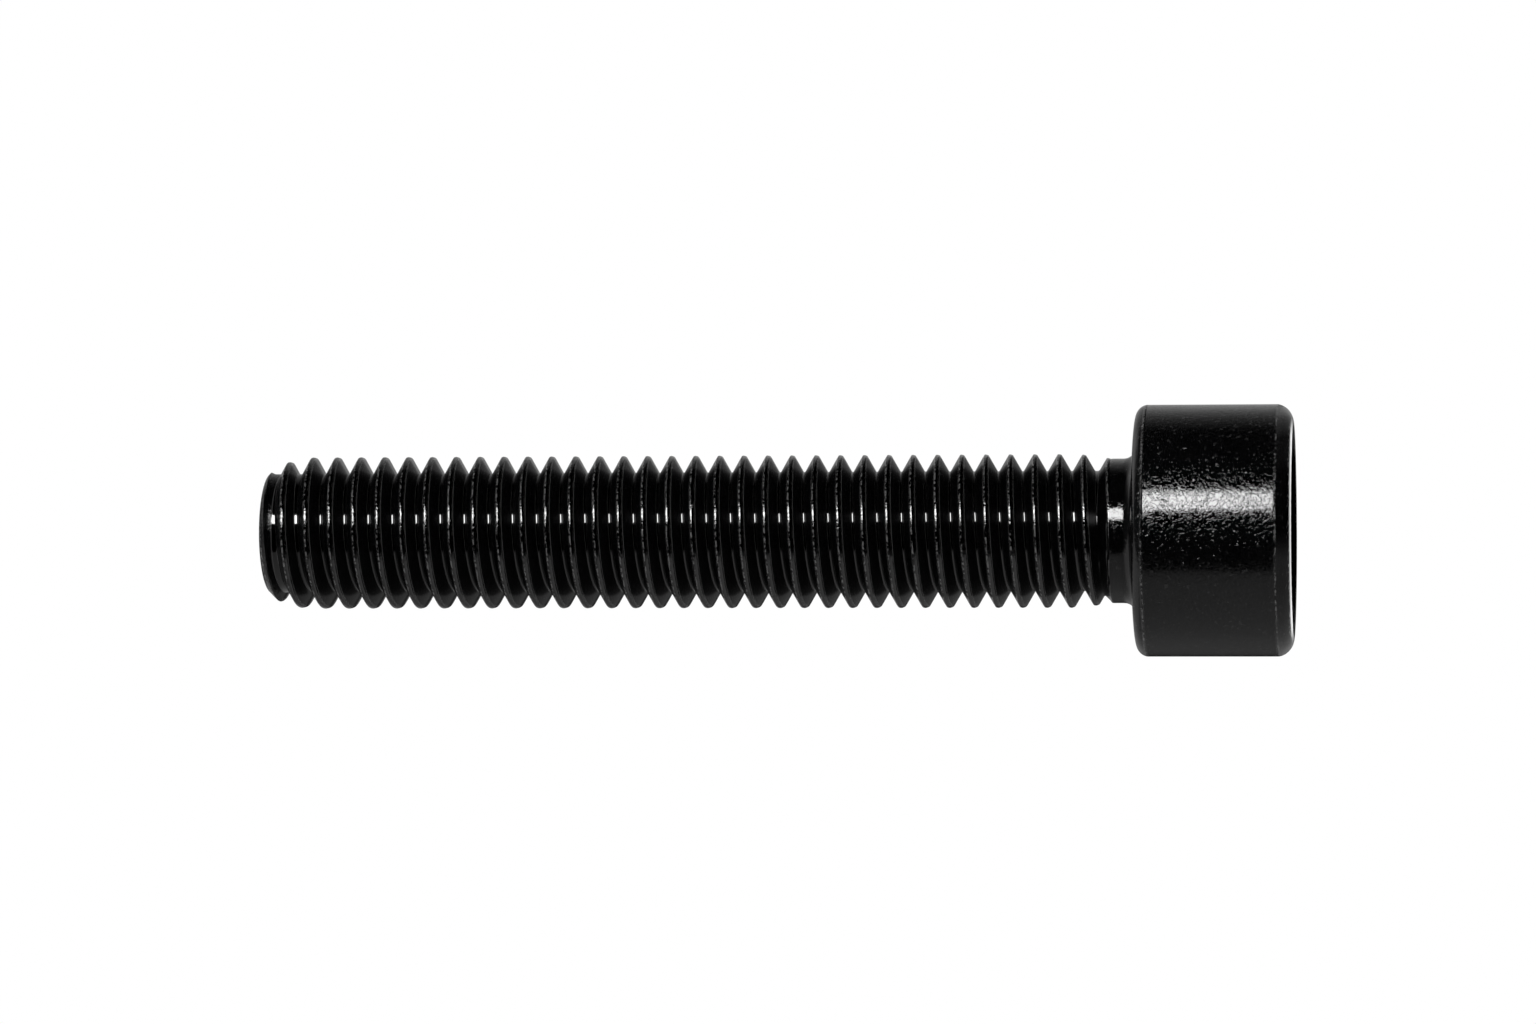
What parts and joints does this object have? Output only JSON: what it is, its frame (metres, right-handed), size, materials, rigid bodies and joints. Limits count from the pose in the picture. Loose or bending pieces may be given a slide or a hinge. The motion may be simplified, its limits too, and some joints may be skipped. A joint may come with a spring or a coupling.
{
  "type": "socket head cap screw",
  "caption": "Black socket head cap screw: a plain cylindrical head with a hexagonal socket, and a metric thread along the whole shank.",
  "frame": {"origin": "centre of the socket face, on which the screw stands", "axes": "+Z along the screw's axis, from the socket face to the tip; two corners of the hexagonal socket lie on the X axis"},
  "size_m": [0.0128, 0.0128, 0.053],
  "materials": {
    "black_steel": "gloss"
  },
  "bodies": {
    "root": {"screw": "black_steel"}
  },
  "joints": []
}
